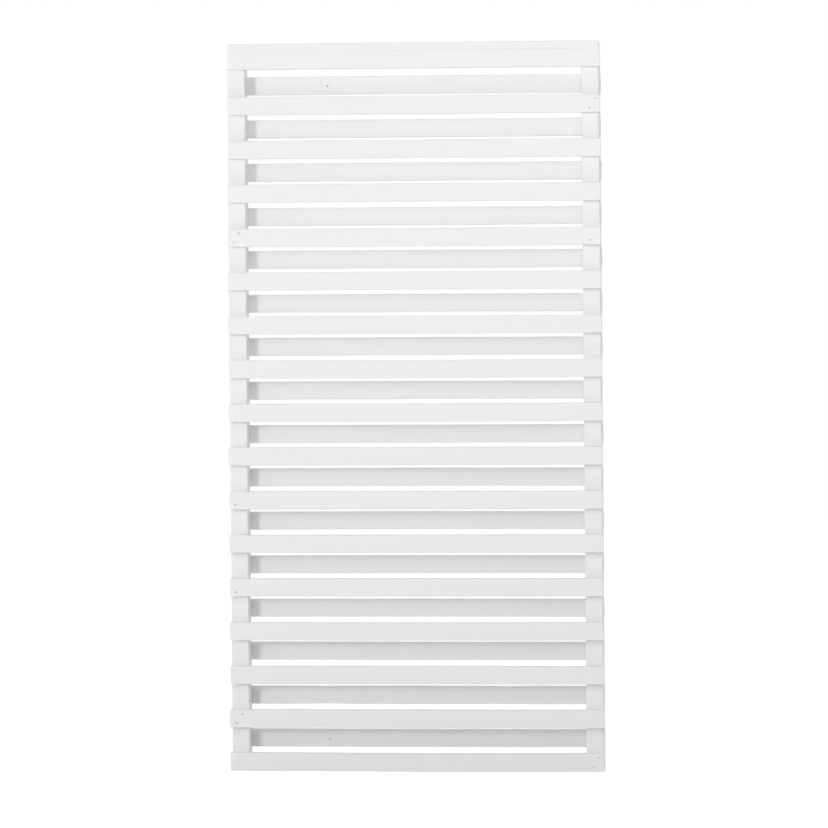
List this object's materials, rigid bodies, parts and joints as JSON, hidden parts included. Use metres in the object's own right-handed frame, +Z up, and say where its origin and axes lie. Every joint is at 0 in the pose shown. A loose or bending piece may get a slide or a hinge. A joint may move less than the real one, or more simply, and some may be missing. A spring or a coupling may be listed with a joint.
{
  "type": "fence panel",
  "caption": "Slatted garden screen: painted timber slats nailed in turn to the front and back of two posts, under a flat top board.",
  "frame": {"origin": "middle of the base, midway between the posts and on the posts' depth centre", "axes": "+X along the slats to the right as seen from the front, -Y out of the front, +Z up"},
  "size_m": [0.9, 0.084, 1.745],
  "materials": {
    "painted_slat": "planed softwood under opaque white satin paint",
    "painted_post": "planed softwood under opaque white satin paint",
    "painted_top_board": "planed softwood under opaque white satin paint",
    "brad_steel": "galvanised flat wire, the sunk head touched by paint"
  },
  "bodies": {
    "root": {"back_brads_left": "brad_steel", "back_brads_right": "brad_steel", "back_slat_01": "painted_slat", "back_slat_02": "painted_slat", "back_slat_03": "painted_slat", "back_slat_04": "painted_slat", "back_slat_05": "painted_slat", "back_slat_06": "painted_slat", "back_slat_07": "painted_slat", "back_slat_08": "painted_slat", "back_slat_09": "painted_slat", "back_slat_10": "painted_slat", "back_slat_11": "painted_slat", "back_slat_12": "painted_slat", "back_slat_13": "painted_slat", "back_slat_14": "painted_slat", "back_slat_15": "painted_slat", "back_slat_16": "painted_slat", "cap": "painted_top_board", "cap_brads": "brad_steel", "front_brads_left": "brad_steel", "front_brads_right": "brad_steel", "front_slat_01": "painted_slat", "front_slat_02": "painted_slat", "front_slat_03": "painted_slat", "front_slat_04": "painted_slat", "front_slat_05": "painted_slat", "front_slat_06": "painted_slat", "front_slat_07": "painted_slat", "front_slat_08": "painted_slat", "front_slat_09": "painted_slat", "front_slat_10": "painted_slat", "front_slat_11": "painted_slat", "front_slat_12": "painted_slat", "front_slat_13": "painted_slat", "front_slat_14": "painted_slat", "front_slat_15": "painted_slat", "front_slat_16": "painted_slat", "front_slat_17": "painted_slat", "post_left": "painted_post", "post_right": "painted_post"}
  },
  "joints": []
}
